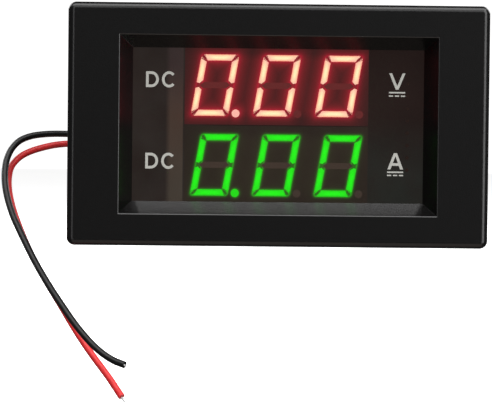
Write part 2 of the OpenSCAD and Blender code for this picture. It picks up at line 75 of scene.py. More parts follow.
class Graph:
    """A material's node tree, with one call for each sum."""

    def __init__(self, name):
        self.mat = bpy.data.materials.new(name)
        self.mat.use_nodes = True
        self.nt = self.mat.node_tree
        self.nt.nodes.clear()
        self.out = self.nt.nodes.new("ShaderNodeOutputMaterial")
        self.bsdf = self.nt.nodes.new("ShaderNodeBsdfPrincipled")
        self.nt.links.new(self.bsdf.outputs[0], self.out.inputs["Surface"])
        self._obj = None

    def put(self, socket, value):
        if hasattr(value, "is_output") or isinstance(value, bpy.types.NodeSocket):
            self.nt.links.new(value, socket)
        elif isinstance(value, (tuple, list)) and len(value) == 3 and socket.type == "RGBA":
            socket.default_value = (*value, 1.0)
        else:
            socket.default_value = value

    def set(self, **sockets):
        for key, value in sockets.items():
            self.put(self.bsdf.inputs[key.replace("_", " ")], value)
        return self

    def where(self):
        """Object coordinates, in metres."""
        if self._obj is None:
            self._obj = self.nt.nodes.new("ShaderNodeTexCoord").outputs["Object"]
        return self._obj

    def math(self, op, a, b=0.0, c=0.0, clamp=False):
        n = self.nt.nodes.new("ShaderNodeMath")
        n.operation = op
        n.use_clamp = clamp
        for s, v in zip(n.inputs, (a, b, c)):
            self.put(s, v)
        return n.outputs[0]

    def xyz(self, vector=None):
        n = self.nt.nodes.new("ShaderNodeSeparateXYZ")
        self.put(n.inputs[0], vector if vector is not None else self.where())
        return n.outputs[0], n.outputs[1], n.outputs[2]

    def combine(self, x, y, z):
        n = self.nt.nodes.new("ShaderNodeCombineXYZ")
        for s, v in zip(n.inputs, (x, y, z)):
            self.put(s, v)
        return n.outputs[0]

    def stretch(self, sx, sy, sz, vector=None):
        n = self.nt.nodes.new("ShaderNodeMapping")
        self.put(n.inputs["Vector"], vector if vector is not None else self.where())
        n.inputs["Scale"].default_value = (sx, sy, sz)
        return n.outputs[0]

    def noise(self, scale, detail=2.0, rough=0.5, vector=None, distortion=0.0):
        n = self.nt.nodes.new("ShaderNodeTexNoise")
        self.put(n.inputs["Vector"], vector if vector is not None else self.where())
        n.inputs["Scale"].default_value = scale
        n.inputs["Detail"].default_value = detail
        n.inputs["Roughness"].default_value = rough
        n.inputs["Distortion"].default_value = distortion
        return n.outputs[0]

    def cells(self, scale, feature="F1", randomness=1.0, vector=None):
        n = self.nt.nodes.new("ShaderNodeTexVoronoi")
        n.feature = feature
        self.put(n.inputs["Vector"], vector if vector is not None else self.where())
        n.inputs["Scale"].default_value = scale
        n.inputs["Randomness"].default_value = randomness
        return n.outputs["Distance"]

    def span(self, value, a, b, c=0.0, d=1.0):
        """value from a..b taken to c..d, and held there."""
        n = self.nt.nodes.new("ShaderNodeMapRange")
        n.clamp = True
        for s, v in zip(n.inputs[:5], (value, a, b, c, d)):
            self.put(s, v)
        return n.outputs[0]

    def ramp(self, fac, *stops):
        n = self.nt.nodes.new("ShaderNodeValToRGB")
        r = n.color_ramp
        while len(r.elements) > 1:
            r.elements.remove(r.elements[-1])
        for i, (at, colour) in enumerate(stops):
            e = r.elements[0] if i == 0 else r.elements.new(at)
            e.position = at
            e.color = (*colour, 1.0)
        self.put(n.inputs[0], fac)
        return n.outputs[0]

    def mix(self, fac, a, b, how="MIX"):
        n = self.nt.nodes.new("ShaderNodeMix")
        n.data_type = "RGBA"
        n.blend_type = how
        self.put(n.inputs["Factor"], fac)
        self.put(n.inputs[6], a)
        self.put(n.inputs[7], b)
        return n.outputs[2]

    def bump(self, height, strength, distance):
        n = self.nt.nodes.new("ShaderNodeBump")
        n.inputs["Strength"].default_value = strength
        n.inputs["Distance"].default_value = distance
        self.put(n.inputs["Height"], height)
        self.put(self.bsdf.inputs["Normal"], n.outputs[0])
        return self


def lin(r, g, b):
    """Linear colour of an 8-bit one."""
    return tuple(
        ((c / 255 + 0.055) / 1.055) ** 2.4 if c > 10 else c / 255 / 12.92 for c in (r, g, b)
    )


# ------------------------------------------------------------------ mesh tools


def link(name, mesh, *mats):
    o = bpy.data.objects.new(name, mesh)
    scene.collection.objects.link(o)
    for m in mats:
        mesh.materials.append(m)
    return o


def mesh_of(name, verts, faces):
    me = bpy.data.meshes.new(name)
    me.from_pydata([tuple(c * MM for c in v) for v in verts], [], faces)
    me.validate()
    return me


def tidy(o, angle=32.0, weighted=True):
    """Smooth shading with creases by angle."""
    me = o.data
    bm = bmesh.new()
    bm.from_mesh(me)
    bmesh.ops.recalc_face_normals(bm, faces=bm.faces)
    bm.to_mesh(me)
    bm.free()
    me.shade_smooth()
    me.set_sharp_from_angle(angle=math.radians(angle))
    if weighted:
        m = o.modifiers.new("normals", "WEIGHTED_NORMAL")
        m.keep_sharp = True
        m.weight = 80


def applied(o):
    """Its modifiers made into its mesh."""
    dg = bpy.context.evaluated_depsgraph_get()
    me = bpy.data.meshes.new_from_object(o.evaluated_get(dg))
    o.modifiers.clear()
    o.data = me
    return o


def cut(o, others, how="DIFFERENCE"):
    for t in others:
        m = o.modifiers.new("cut", "BOOLEAN")
        m.operation = how
        m.object = t
        m.solver = "EXACT"
    applied(o)
    for t in others:
        bpy.data.objects.remove(t)
    return o


def rounded(a, b, r, y, n=8):
    """A rounded rectangle's points at a depth: half sides a and b, corner radius r."""
    pts = []
    for cx, cz, t0 in ((a - r, b - r, 0), (-(a - r), b - r, 90), (-(a - r), -(b - r), 180), (a - r, -(b - r), 270)):
        for k in range(n + 1):
            t = math.radians(t0 + 90 * k / n)
            pts.append((cx + r * math.cos(t), y, cz + r * math.sin(t)))
    return pts


def loft(name, rings, closed=True):
    n = len(rings[0])
    verts = [p for r in rings for p in r]
    faces = []
    last = len(rings) if closed else len(rings) - 1
    for i in range(last):
        j = (i + 1) % len(rings)
        for k in range(n):
            l = (k + 1) % n
            faces.append((i * n + k, i * n + l, j * n + l, j * n + k))
    if not closed:
        faces.append(tuple(range(n - 1, -1, -1)))
        faces.append(tuple(range((len(rings) - 1) * n, len(rings) * n)))
    return mesh_of(name, verts, faces)


def box_mesh(name, x0, x1, y0, y1, z0, z1):
    v = [(x, y, z) for x in (x0, x1) for y in (y0, y1) for z in (z0, z1)]
    f = [(0, 1, 3, 2), (4, 6, 7, 5), (0, 4, 5, 1), (2, 3, 7, 6), (0, 2, 6, 4), (1, 5, 7, 3)]
    return mesh_of(name, v, f)


def prism(name, outline, y0, y1):
    """An outline of (x, z) points made solid from y0 to y1."""
    n = len(outline)
    v = [(x, y0, z) for x, z in outline] + [(x, y1, z) for x, z in outline]
    f = [tuple(range(n)), tuple(range(2 * n - 1, n - 1, -1))]
    f += [(k, k + n, (k + 1) % n + n, (k + 1) % n) for k in range(n)]
    return mesh_of(name, v, f)


def rod_mesh(name, x, z, r, y0, y1, n=48):
    return prism(name, [(x + r * math.cos(2 * math.pi * k / n), z + r * math.sin(2 * math.pi * k / n)) for k in range(n)], y0, y1)


def joined(name, meshes):
    bm = bmesh.new()
    for me in meshes:
        bm.from_mesh(me)
        bpy.data.meshes.remove(me)
    out = bpy.data.meshes.new(name)
    bm.to_mesh(out)
    bm.free()
    return out


def soften(o, width, segments=3, angle=35.0, weighted=True):
    """A small round on every hard edge of a piece or CAD node, as a modifier stack."""
    w = o.modifiers.new("weld", "WELD")
    w.merge_threshold = 2e-6
    d = o.modifiers.new("flat", "DECIMATE")
    d.decimate_type = "DISSOLVE"
    d.angle_limit = math.radians(0.6)
    b = o.modifiers.new("round", "BEVEL")
    b.width = width * MM
    b.segments = segments
    b.limit_method = "ANGLE"
    b.angle_limit = math.radians(angle)
    b.miter_outer = "MITER_ARC"
    b.use_clamp_overlap = True
    b.harden_normals = False
    if weighted:
        n = o.modifiers.new("normals", "WEIGHTED_NORMAL")
        n.keep_sharp = False
        n.weight = 80
    return o


# ------------------------------------------------------------------ the two leads

BLACK_ROUTE = [
    (-35.2, 21.2, -2.2), (-38, 21.2, -2.2), (-41, 21.2, -2.2), (-44, 21.1, -2.2), (-46.53, 20.59, -2.2),
    (-49.01, 19.92, -2.36), (-51.39, 19.03, -2.78), (-53.62, 17.94, -3.76), (-55.2, 16.68, -5.51),
    (-56.07, 15.3, -7.72), (-56.3, 13.81, -10.11), (-56.14, 12.24, -12.48), (-55.64, 10.6, -14.83),
    (-54.89, 8.88, -17.11), (-53.96, 7.12, -19.34), (-52.83, 5.3, -21.48), (-51.65, 3.46, -23.58),
    (-50.46, 1.6, -25.65), (-49.23, -0.27, -27.68), (-47.96, -2.13, -29.65), (-46.63, -4, -31.56),
    (-45.27, -5.84, -33.44), (-43.86, -7.66, -35.27), (-42.44, -9.44, -37.08), (-41.02, -11.16, -38.87),
    (-39.52, -12.82, -40.61), (-37.93, -14.4, -42.27), (-36.23, -15.9, -43.85), (-34.38, -17.3, -45.23),
    (-32.33, -18.63, -46.35), (-30.12, -19.9, -47.08),
]
RED_ROUTE = [
    (-35.2, 21.2, -4.2), (-38, 21.2, -4.2), (-41, 21.2, -4.2), (-44, 21.1, -4.3), (-46.55, 20.69, -4.6),
    (-49.03, 20.14, -5.18), (-51.41, 19.41, -5.97), (-53.59, 18.49, -7.18), (-55.24, 17.46, -9.15),
    (-55.72, 16.35, -11.65), (-55.52, 15.16, -14.14), (-54.93, 13.87, -16.55), (-54.11, 12.45, -18.89),
    (-53.15, 10.9, -21.16), (-52.11, 9.27, -23.37), (-51, 7.58, -25.53), (-49.82, 5.86, -27.64),
    (-48.54, 4.14, -29.69), (-47.2, 2.41, -31.7), (-45.84, 0.7, -33.67), (-44.46, -1, -35.62),
    (-43.11, -2.68, -37.57), (-41.78, -4.34, -39.53), (-40.43, -5.96, -41.47), (-39.03, -7.54, -43.37),
    (-37.59, -9.06, -45.22), (-36.12, -10.52, -47.02), (-34.64, -11.9, -48.77), (-33.23, -13.21, -50.49),
    (-31.96, -14.43, -52.17), (-30.77, -15.6, -53.8),
]
LEAD_D = 1.4 * MM


def through(points, steps=4):
    """A smooth line through points (Catmull-Rom)."""
    p = [Vector(q) for q in points]
    p = [p[0] * 2 - p[1]] + p + [p[-1] * 2 - p[-2]]
    out = []
    for i in range(1, len(p) - 2):
        a, b, c, d = p[i - 1 : i + 3]
        for k in range(steps):
            t = k / steps
            out.append(
                0.5 * ((2 * b) + (c - a) * t + (2 * a - 5 * b + 4 * c - d) * t * t + (3 * b - a - 3 * c + d) * t ** 3)
            )
    out.append(p[-2])
    return out


def lead(name, route, mat):
    line = [v * MM for v in through(route)]
    cu = bpy.data.curves.new(name, "CURVE")
    cu.dimensions = "3D"
    sp = cu.splines.new("POLY")
    sp.points.add(len(line) - 1)
    for q, v in zip(sp.points, line):
        q.co = (*v, 1)
    cu.bevel_depth = LEAD_D / 2
    cu.bevel_resolution = 7
    cu.use_fill_caps = True
    sp.use_smooth = True
    cu.materials.append(mat)
    o = bpy.data.objects.new(name, cu)
    scene.collection.objects.link(o)
    return o, line


def pvc(name, base, dark, rough, spec):
    g = Graph(name)
    n = g.noise(900, 3, 0.6)
    g.set(
        Base_Color=g.mix(g.span(n, 0.35, 0.7), dark, base),
        Roughness=g.span(g.noise(2500, 2), 0.3, 0.7, rough - 0.05, rough + 0.07),
        IOR=1.5,
    )
    g.bsdf.inputs["Specular IOR Level"].default_value = spec
    x = g.noise(1400, 2, 0.5, g.stretch(1, 0.25, 0.25))
    g.bump(x, 0.25, 0.00003)
    return g.mat


MAT_BLACK_LEAD = pvc("lead_black", (0.008, 0.0075, 0.0075), (0.005, 0.005, 0.005), 0.36, 0.32)
MAT_RED_LEAD = pvc("lead_red", (0.80, 0.040, 0.042), (0.68, 0.028, 0.032), 0.36, 0.35)

black, black_line = lead("black_wire", BLACK_ROUTE, MAT_BLACK_LEAD)
red, red_line = lead("red_wire", RED_ROUTE, MAT_RED_LEAD)


# bare ends: twisted strands


def copper(name, colour, rough):
    g = Graph(name)
    g.set(
        Base_Color=g.mix(g.span(g.noise(4000, 2), 0.3, 0.7), colour, tuple(c * 0.72 for c in colour)),
        Metallic=1.0,
        Roughness=g.span(g.noise(3000, 2), 0.3, 0.7, rough, rough + 0.15),
    )
    g.bump(g.noise(6000, 2), 0.2, 0.00001)
    return g.mat


MAT_TIN = copper("tinned_copper", (0.78, 0.78, 0.78), 0.22)


def strands(name, line, r, length, n, strand_r, solder=False):
    """Fine wires twisted round the end of a lead, standing out of it."""
    end, d = line[-1], (line[-1] - line[-3]).normalized()
    u = d.orthogonal().normalized()
    v = d.cross(u)
    sides, steps = 8, 10
    verts, faces = [], []
    rings = [(0.0, 0.0)] if n < 5 else [(0.0, 0.0)]
    rings += [(r - strand_r, 2 * math.pi * k / (n - 1)) for k in range(n - 1)]
    rnd = random.Random(7)
    for j, (rad, t0) in enumerate(rings):
        far = length * (1 - 0.08 * rnd.random() * (not solder))
        base = len(verts)
        for i in range(steps + 1):
            s = -0.2 + (far + 0.2) * i / steps
            t = t0 + 1.6 * s / length
            taper = 1.0 if not solder else 1.0 - 0.25 * max(0, s / length - 0.55) / 0.45
            c = end + d * s * MM + (u * math.cos(t) + v * math.sin(t)) * rad * taper * MM
            q = strand_r * (0.55 if i == steps else 1.0)
            for k in range(sides):
                a = 2 * math.pi * k / sides
                verts.append(c + (u * math.cos(a) + v * math.sin(a)) * q * MM)
        for i in range(steps):
            for k in range(sides):
                l = (k + 1) % sides
                faces.append((base + i * sides + k, base + i * sides + l, base + (i + 1) * sides + l, base + (i + 1) * sides + k))
        faces.append(tuple(base + k for k in range(sides - 1, -1, -1)))
        faces.append(tuple(base + steps * sides + k for k in range(sides)))
    me = bpy.data.meshes.new(name)
    me.from_pydata([tuple(p) for p in verts], [], faces)
    o = link(name, me, MAT_TIN)
    tidy(o, 50, weighted=False)
    return o


black_end = strands("black_wire_strands", black_line, 0.27, 0.28, 7, 0.085)
red_end = strands("red_wire_strands", red_line, 0.235, 1.38, 7, 0.082, solder=True)

for o, node, s in (
    (black, "black_lead", "lead_black"),
    (red, "red_lead", "lead_red"),
    (black_end, "black_lead_core", "tinned"),
    (red_end, "red_lead_core", "tinned"),
):
    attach(o, "meter")
    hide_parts(node)


# ------------------------------------------------------------------ case

SMOOTH_SPEC = 0.5


def black_plastic(name, rough, spec, grain, grain_mm, base=0.0085, fleck=False):
    """Moulded ABS. grain is how strong the spark-eroded texture is and grain_mm its pitch."""
    g = Graph(name)
    slow = g.noise(60, 3, 0.55)
    fine = g.noise(1 / (grain_mm * MM), 3, 0.6)
    cellular = g.cells(0.8 / (grain_mm * MM), "SMOOTH_F1")
    tone = g.span(slow, 0.3, 0.7, 0.9, 1.15)
    colour = g.mix(tone, (base * 0.55, base * 0.55, base * 0.56), (base, base * 0.98, base))
    if fleck:
        # painted glints: pale specks in the base colour where the grain would catch the light
        glint_specks = g.span(g.cells(260, "F1", 1.0), 0.0, 0.016, 1.0, 0.0)
        pick = g.span(g.noise(140, 1), 0.60, 0.66)
        colour = g.mix(g.math("MULTIPLY", g.math("MULTIPLY", glint_specks, pick), 0.35), colour, (0.16, 0.15, 0.14))
    g.set(
        Base_Color=colour,
        Roughness=g.span(fine, 0.25, 0.75, rough - 0.06, rough + 0.08),
        IOR=1.5,
    )
    g.bsdf.inputs["Specular IOR Level"].default_value = spec
    height = g.math("ADD", g.math("MULTIPLY", fine, 0.6), g.math("MULTIPLY", cellular, 0.5))
    g.bump(height, grain, grain_mm * MM * 0.25)
    return g.mat


MAT_FACE = black_plastic("case_face_textured", 0.45, 0.12, 0.7, 0.17, base=0.003, fleck=True)
MAT_GLOSS = black_plastic("case_edges_polished", 0.2, 0.46, 0.06, 0.4, base=0.006)
MAT_RIM = black_plastic("case_rim_polished", 0.2, 0.8, 0.0, 0.4, base=0.006)
MAT_CASE = black_plastic("case_body_satin", 0.42, 0.4, 0.3, 0.12, base=0.011)


def recess_mat():
    """Polished walls, with reflection painted in: their specular level is set by position into a band on the long lower
    wall whose ends slant in towards its corners, stronger towards the lens, and highest on the left wall, lower on the
    top wall and least on the right.
    """
    g = Graph("case_recess_polished")
    x, y, z = g.xyz()
    x, y, z = g.math("MULTIPLY", x, 1000), g.math("MULTIPLY", y, 1000), g.math("MULTIPLY", z, 1000)
    depth = g.span(y, -5.0, -1.0)
    low = g.span(z, -15.3, -15.6)
    west = g.span(x, -29.2, -29.5)
    east = g.span(x, 29.4, 29.7)
    # painted reflection: the left wall's specular level is set highest, the top wall's lower, the right wall's least
    wall = g.math("ADD", g.math("MULTIPLY", west, 0.45), g.math("ADD", 0.38, g.math("MULTIPLY", east, -0.2)))
    # where the painted reflection band on the lower wall ends on the left and on the right
    left = g.math("SUBTRACT", g.math("ADD", x, 27.9), g.math("MULTIPLY", depth, -1.0))
    right = g.math("SUBTRACT", g.math("SUBTRACT", 27.6, x), g.math("MULTIPLY", depth, -1.6))
    painted_band = g.math("MULTIPLY", g.span(left, -0.15, 0.3), g.span(right, -0.3, 0.4))
    rimward = g.span(depth, 0.02, 0.22, 0.62, 1.0)
    level = g.math("MULTIPLY", g.span(depth, 0.0, 1.0, 0.62, 1.3), rimward)
    level = g.math("MULTIPLY", level, g.math("ADD", g.math("MULTIPLY", painted_band, 0.82), 0.18))
    level = g.math("ADD", g.math("MULTIPLY", low, level), g.math("MULTIPLY", g.math("SUBTRACT", 1.0, low), wall))
    g.set(
        Base_Color=g.mix(g.span(g.noise(60, 3, 0.55), 0.3, 0.7), (0.0035, 0.0034, 0.0034), (0.0045, 0.0043, 0.0043)),
        Roughness=g.span(g.noise(700, 2), 0.3, 0.7, 0.19, 0.22),
        IOR=1.5,
        Specular_IOR_Level=level,
    )
    g.bump(g.noise(900, 2), 0.02, 0.00005)
    return g.mat


MAT_RECESS = recess_mat()

W, H, T = 42.5, 24.5, 5.0
CR, ER = 1.6, 1.35
OPEN_A, OPEN_B = 32.1, 18.05
WIN_A, WIN_B = 29.5, 15.55
RIM = 0.28


def housing():
    rings, tags = [], []

    def add(a, b, r, y, tag):
        rings.append(rounded(a, b, r, y))
        tags.append(tag)

    # the recess, from the lens out to the face
    k = (OPEN_A - WIN_A) / 4.0
    slope = math.atan2(OPEN_A - WIN_A, 4.0)
    add(WIN_A, WIN_B, 0.18, -1.0, "recess")
    add(WIN_A + k * 0.15, WIN_B + k * 0.15 * 0.96, 0.18, -1.15, "recess")
    # a small round at the rim, tangent to the slope and to the face
    turn = math.pi / 2 - slope
    back = RIM * math.tan(turn / 2)
    for i in range(7):
        # from the slope's direction to the face's
        t = turn * i / 6
        # centre of the round lies RIM behind the face
        dx = RIM * math.sin(turn - t)
        dy = RIM * (1 - math.cos(turn - t))
        a = OPEN_A + back - dx
        b = OPEN_B + back - dx
        add(a, b, 0.1, -T + dy, "recess" if i == 0 else "rim")
    add(OPEN_A + back + 0.05, OPEN_B + back + 0.05, 0.13, -T, "face")
    add(W - ER - 0.05, H - ER - 0.05, CR - ER + 0.02, -T, "face")
    for i in range(13):
        t = math.pi / 2 * i / 12
        d = ER * (1 - math.sin(t))
        add(W - d, H - d, CR - d, -T + ER * (1 - math.cos(t)), "edge")
    add(W, H, CR, -0.22, "side")
    for i in range(1, 4):
        t = math.pi / 2 * i / 3
        d = 0.18 * (1 - math.cos(t))
        add(W - d, H - d, CR - d, -0.18 + 0.18 * math.sin(t), "back")
    # rear of the bezel, the case's outside, rim and inside
    add(38.35, 20.85, 1.85, 0.0, "back")
    for i in range(1, 4):
        t = math.pi / 2 * i / 3
        d = 0.35 * math.sin(t)
        add(38.35 - d, 20.85 - d, 1.85 - d, 0.35 * (1 - math.cos(t)), "case")
    add(38.0, 20.5, 1.5, 23.75, "case")
    for i in range(1, 4):
        t = math.pi / 2 * i / 3
        d = 0.25 * (1 - math.cos(t))
        add(38.0 - d, 20.5 - d, 1.5 - d, 23.75 + 0.25 * math.sin(t), "case")
    add(36.25, 18.75, 0.5, 24.0, "case")
    add(36.2, 18.7, 0.5, 23.9, "case")
    add(36.2, 18.7, 0.5, 0.2, "case")
    add(31.45, 17.45, 0.12, 0.2, "case")
    add(31.45, 17.45, 0.12, -1.0, "case")
    me = loft("front_housing_shell", rings)
    o = link("case_moulding", me, MAT_FACE, MAT_GLOSS, MAT_RECESS, MAT_CASE, MAT_RIM)
    n = len(rings[0])
    slot_of = {"face": 0, "edge": 1, "side": 1, "rim": 4, "recess": 2, "back": 1, "case": 3}
    for i, p in enumerate(me.polygons):
        ring = i // n
        p.material_index = slot_of[tags[(ring + 1) % len(rings)]] if tags[ring] != "face" else (0 if tags[(ring + 1) % len(rings)] == "face" else 1)
    # the face runs from the rim's last ring to the edge's first
    for i, p in enumerate(me.polygons):
        ys = [me.vertices[v].co.y / MM for v in p.vertices]
        if max(ys) < -T + 1e-4 and min(ys) > -T - 1e-4:
            p.material_index = 0
    return o


case = housing()

cuts = []


def cutter(me):
    o = link("cutter", me)
    cuts.append(o)
    return o


for s in (-1, 1):
    x0, x1 = (38 - 1.8 - 0.3, 38.1) if s > 0 else (-38.1, -38 + 1.8 + 0.3)
    cutter(box_mesh("c", x0, x1, 3.5, 4.3, -6, 6))
    cutter(box_mesh("c", x0, x1, 3.4, 16, 5.2, 6.01))
    cutter(box_mesh("c", x0, x1, 3.4, 16, -6.01, -5.2))
cutter(box_mesh("c", -38.2, -36.1, 20.5, 24.2, -5.1, -1.3))
cutter(box_mesh("c", 4.95, 21.05, 18.7, 24.2, -20.7, -18.5))
cut(case, cuts)
adds = []
for s in (-1, 1):
    out = [(38 - 0.5, 4.301), (38.0, 4.301), (38 + 1.6 - 0.12, 5.5), (38 + 1.6, 5.68), (38 + 1.6, 6.2), (38 + 1.5, 6.45), (38.0, 13.0), (38 - 0.5, 13.0)]
    v = [(s * x, y, z) for z in (-5.18, 5.18) for x, y in out]
    n = len(out)
    f = [tuple(range(n)), tuple(range(2 * n - 1, n - 1, -1))] + [(k, k + n, (k + 1) % n + n, (k + 1) % n) for k in range(n)]
    o = link("barb", mesh_of("barb", v, f))
    bm = bmesh.new()
    bm.from_mesh(o.data)
    bmesh.ops.recalc_face_normals(bm, faces=bm.faces)
    bm.to_mesh(o.data)
    bm.free()
    adds.append(o)
for x in (-33.9, 33.9):
    for z in (-16.4, 16.4):
        adds.append(link("boss", rod_mesh("boss", x, z, 2.45, 0.19, 23.95, 32)))
for o in adds:
    bm = bmesh.new()
    bm.from_mesh(o.data)
    bmesh.ops.recalc_face_normals(bm, faces=bm.faces)
    bm.to_mesh(o.data)
    bm.free()
    o.data.materials.append(MAT_FACE)
    o.data.materials.append(MAT_GLOSS)
    o.data.materials.append(MAT_RECESS)
    o.data.materials.append(MAT_CASE)
    o.data.materials.append(MAT_RIM)
    for p in o.data.polygons:
        p.material_index = 3
cut(case, adds, "UNION")
tidy(case, 28)
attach(case, "meter")
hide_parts("front_housing")


# ------------------------------------------------------------------ lens and its print

LENS_ALPHA = 0.6
LENS_IOR = 1.75
LENS_T = (1 - LENS_ALPHA) ** 2
# painted light: the glow the smoked lens gives off over everything behind it
PAINTED_LENS_GLOW = lin(31, 20, 18)


def lens_up(colour, gain=1.0):
    """A colour as it has to shine behind the lens to look like this in front of it."""
    return tuple(max(c - v, 0) / LENS_T * gain for c, v in zip(colour, PAINTED_LENS_GLOW))


def sum_colours(g, *terms):
    """Sum of (factor socket, colour) as a colour."""
    channels = []
    for c in range(3):
        total = None
        for f, colour in terms:
            v = g.math("MULTIPLY", f, colour[c])
            total = v if total is None else g.math("ADD", total, v)
        channels.append(total)
    return g.combine(*channels)


g = Graph("smoked_acrylic")
glow_mottle = g.span(g.noise(90, 2, 0.5), 0.3, 0.7, 0.85, 1.15)
g.set(
    Base_Color=(0.004, 0.0035, 0.0035),
    Roughness=0.025,
    IOR=LENS_IOR,
    Alpha=LENS_ALPHA,
    # painted glow: the lens emits this veil of light, mottled at random
    Emission_Color=sum_colours(g, (glow_mottle, PAINTED_LENS_GLOW)),
    Emission_Strength=1.0 / (LENS_ALPHA * (2 - LENS_ALPHA)),
)
MAT_LENS = g.mat
lens = nodes["window_lens"]


def paint(o, *mats):
    o.data.materials.clear()
    for m in mats:
        o.data.materials.append(m)


paint(lens, MAT_LENS)

g = Graph("legend_ink")
g.set(
    Base_Color=g.mix(g.span(g.noise(2500, 3, 0.6), 0.3, 0.7), (0.34, 0.34, 0.315), (0.42, 0.42, 0.39)),
    Roughness=0.6,
    # painted light: the ink also glows faintly
    Emission_Color=(0.36, 0.36, 0.33),
    Emission_Strength=0.12,
)
g.bsdf.inputs["Specular IOR Level"].default_value = 0.2
MAT_INK = g.mat
INK_Y0, INK_Y1 = -1.035, -0.98


def ring_path(points, w):
    """A band of width w along open points, as an outline."""
    left, right = [], []
    for i, p in enumerate(points):
        a = points[max(i - 1, 0)]
        b = points[min(i + 1, len(points) - 1)]
        t = Vector((b[0] - a[0], b[1] - a[1])).normalized()
        nrm = Vector((-t.y, t.x)) * w / 2
        left.append((p[0] + nrm.x, p[1] + nrm.y))
        right.append((p[0] - nrm.x, p[1] - nrm.y))
    return left + right[::-1]


def arc(cx, cz, rx, rz, t0, t1, n=28):
    return [(cx + rx * math.cos(math.radians(t0 + (t1 - t0) * k / n)), cz + rz * math.sin(math.radians(t0 + (t1 - t0) * k / n))) for k in range(n + 1)]


def letter_D(x, z, h, w, s):
    r = h / 2 - s / 2
    bow = [(x + s / 2, z + s / 2), (x + w - r - s / 2 + 0.1, z + s / 2)]
    bow += arc(x + w - r - s / 2 + 0.1, z + h / 2, r - 0.1, r, -90, 90)[1:-1]
    bow += [(x + w - r - s / 2 + 0.1, z + h - s / 2), (x + s / 2, z + h - s / 2)]
    return [[(x, z), (x + s, z), (x + s, z + h), (x, z + h)], ring_path(bow, s)]


def letter_C(x, z, h, w, s):
    return [ring_path(arc(x + w / 2, z + h / 2, w / 2 - s / 2, h / 2 - s / 2 + 0.04, 42, 318, 40), s)]


def letter_V(x, z, h, w, s):
    m = x + w / 2
    return [[(x, z + h), (m - s * 0.55, z), (m + s * 0.55, z), (x + w, z + h), (x + w - s * 1.12, z + h), (m, z + s * 1.35), (x + s * 1.12, z + h)]]


def letter_A(x, z, h, w, s):
    m = x + w / 2
    return [
        [(x, z), (x + s * 1.12, z), (m, z + h - s * 1.1), (x + w - s * 1.12, z), (x + w, z), (m + s * 0.58, z + h), (m - s * 0.58, z + h)],
        [(x + w * 0.22, z + h * 0.22), (x + w * 0.78, z + h * 0.22), (x + w * 0.72, z + h * 0.22 + s * 0.95), (x + w * 0.28, z + h * 0.22 + s * 0.95)],
    ]


def bar(x0, x1, z, t):
    return [[(x0, z - t / 2), (x1, z - t / 2), (x1, z + t / 2), (x0, z + t / 2)]]


def area2(poly):
    return sum(a[0] * b[1] - b[0] * a[1] for a, b in zip(poly, poly[1:] + poly[:1]))


def print_on(name, outlines, y0=INK_Y0, y1=INK_Y1):
    parts = []
    for i, p in enumerate(outlines):
        if area2(p) < 0:
            p = p[::-1]
        parts.append(prism("ink", p, y0 - 0.0004 * i, y1))
    o = link(name, joined(name, parts), MAT_INK)
    bm = bmesh.new()
    bm.from_mesh(o.data)
    bmesh.ops.triangulate(bm, faces=[f for f in bm.faces if len(f.verts) > 4])
    bmesh.ops.recalc_face_normals(bm, faces=bm.faces)
    bm.to_mesh(o.data)
    bm.free()
    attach(o, "meter")
    o.visible_glossy = False
    return o


def dashes(x0, x1, z, t):
    w = (x1 - x0 - 2 * 0.36) / 3
    out = []
    for k in range(3):
        out += bar(x0 + k * (w + 0.36), x0 + k * (w + 0.36) + w, z, t)
    return out


print_on(
    "legend_volts_row",
    letter_D(-26.84, 7.52, 3.2, 2.6, 0.54)
    + letter_C(-23.62, 7.52, 3.2, 2.9, 0.54)
    + letter_V(22.45, 7.56, 3.3, 3.28, 0.52)
    + bar(22.42, 25.72, 6.94, 0.3)
    + dashes(22.42, 25.72, 6.25, 0.26),
)
print_on(
    "legend_amps_row",
    letter_D(-26.84, -8.96, 3.2, 2.6, 0.54)
    + letter_C(-23.62, -8.96, 3.2, 2.9, 0.54)
    + letter_A(22.3, -8.62, 3.3, 3.2, 0.56)
    + bar(22.24, 25.5, -9.2, 0.3)
    + dashes(22.24, 25.5, -9.85, 0.26),
)


def seen_from_behind(outlines, x, z, scale):
    return [[(x - px * scale, z + pz * scale) for px, pz in p] for p in outlines]


# on the rear cover: which trimmer is which, and the leads' and terminals' marks
cross = bar(-1.0, 1.0, 0.0, 0.42) + [[(-0.21, -1.0), (0.21, -1.0), (0.21, 1.0), (-0.21, 1.0)]]
minus = bar(-1.0, 1.0, 0.0, 0.42)
digit_1 = [[(-0.15, -1.1), (0.3, -1.1), (0.3, 1.1), (-0.05, 1.1), (-0.6, 0.65), (-0.45, 0.35), (-0.15, 0.55)]]
digit_2 = [ring_path([(-0.65, 0.45)] + arc(0, 0.45, 0.55, 0.5, 165, -25, 16) + [(-0.62, -0.9), (0.75, -0.9)], 0.38)]
digit_3 = [ring_path([(-0.55, 0.75)] + arc(0, 0.5, 0.52, 0.46, 140, -80, 14) + arc(0, -0.5, 0.58, 0.5, 80, -145, 16), 0.38)]
print_on(
    "rear_marks",
    seen_from_behind(letter_V(-1.0, -1.1, 2.2, 2.0, 0.36), -19.0, -7.6, 1.0)
    + seen_from_behind(letter_A(-1.0, -1.1, 2.2, 2.0, 0.36), -8.0, -7.6, 1.0)
    + seen_from_behind(minus, -32.4, 0.4, 0.8)
    + seen_from_behind(cross, -32.4, -7.0, 0.8)
    + seen_from_behind(digit_3, 7.92, -9.9, 1.0)
    + seen_from_behind(digit_2, 13.0, -9.9, 1.0)
    + seen_from_behind(digit_1, 18.08, -9.9, 1.0),
    25.98,
    26.03,
)


# ------------------------------------------------------------------ digits

